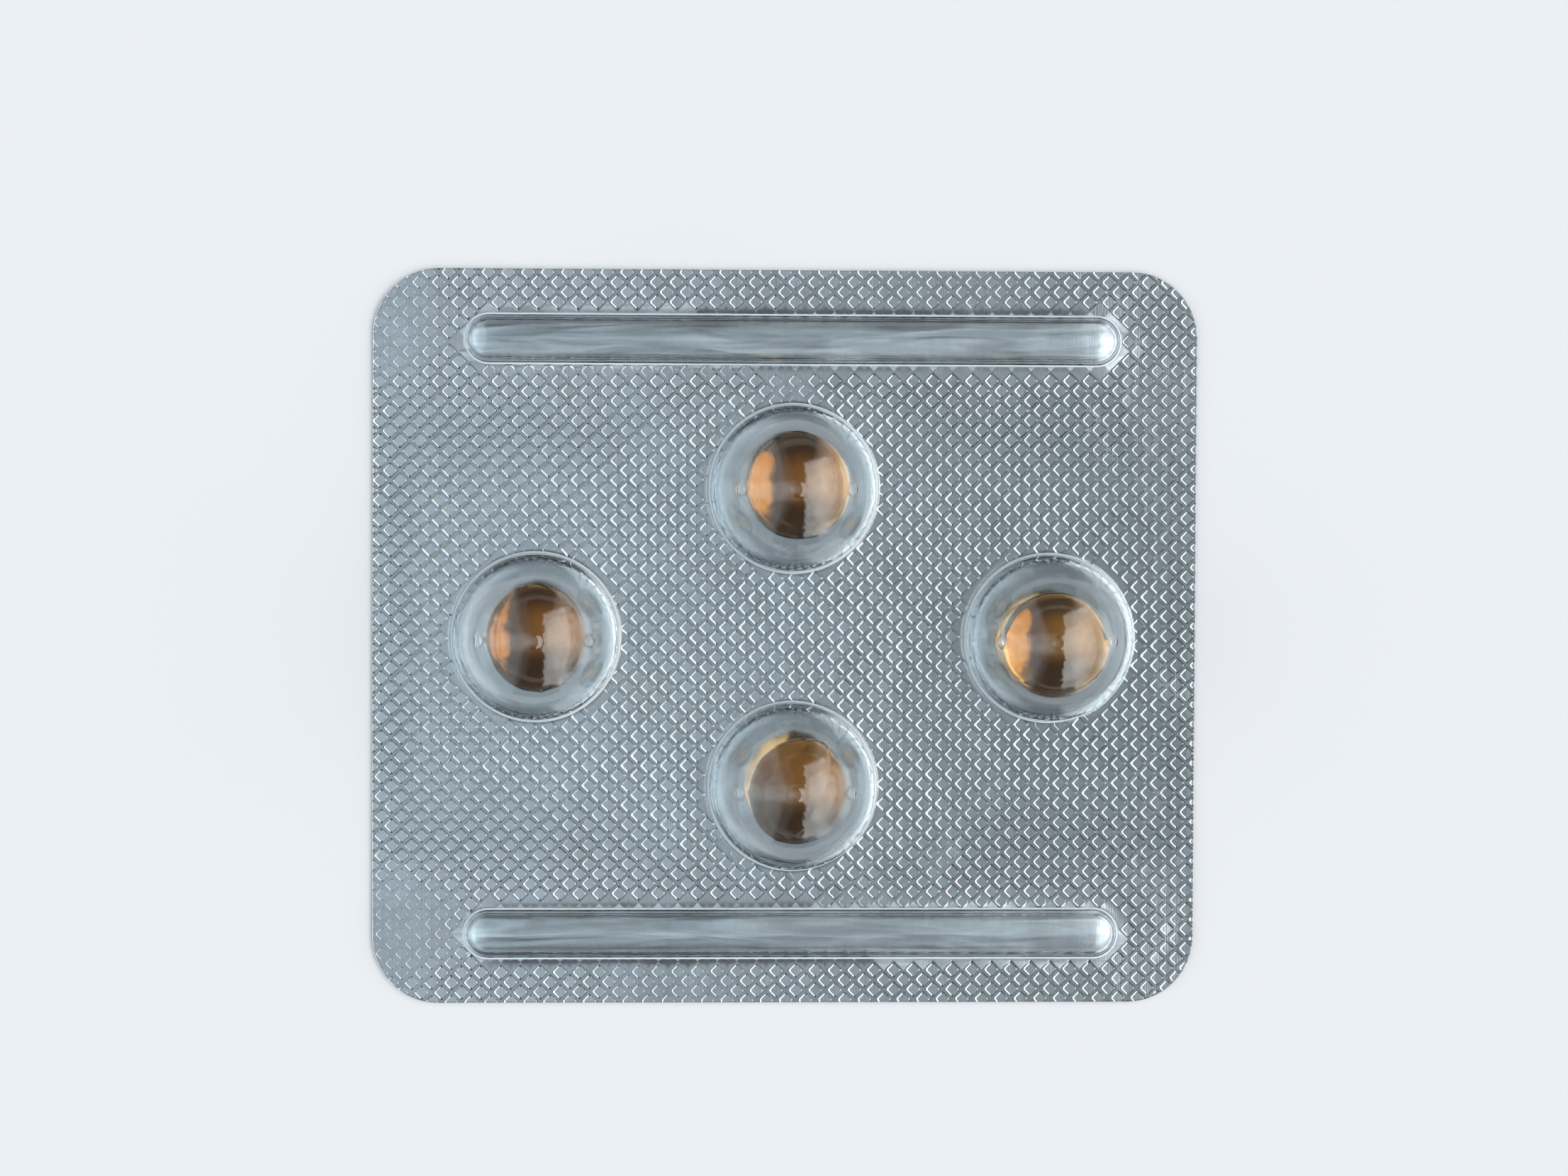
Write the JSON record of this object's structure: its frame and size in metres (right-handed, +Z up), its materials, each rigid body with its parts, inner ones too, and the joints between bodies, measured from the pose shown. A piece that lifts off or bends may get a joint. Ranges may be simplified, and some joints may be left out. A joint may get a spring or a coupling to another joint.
{
  "type": "blister pack of round softgel capsules",
  "caption": "Flat round-cornered blister card: clear formed film with domed pockets and two stiffening ribs, sealed to a foil lid, a round amber softgel resting in each pocket.",
  "frame": {"origin": "middle of the card, on the foil's underside", "axes": "+Z up through the domes, +X to the right along the ribs and the card's long side, +Y towards the back rib"},
  "size_m": [0.06, 0.0534, 0.0085],
  "materials": {
    "rigid_pvc_film": "clear, glossy, faint blue-green",
    "aluminium_foil": "bright rolled, knurled by the heat seal",
    "amber_gelatin": "smooth, glossy, see-through amber",
    "amber_oil": "clear amber oil"
  },
  "bodies": {
    "root": {"forming_film": "rigid_pvc_film", "lidding_foil": "aluminium_foil", "capsule_top_shell": "amber_gelatin", "capsule_top_fill": "amber_oil", "capsule_left_shell": "amber_gelatin", "capsule_left_fill": "amber_oil", "capsule_right_shell": "amber_gelatin", "capsule_right_fill": "amber_oil", "capsule_bottom_shell": "amber_gelatin", "capsule_bottom_fill": "amber_oil"}
  },
  "joints": []
}
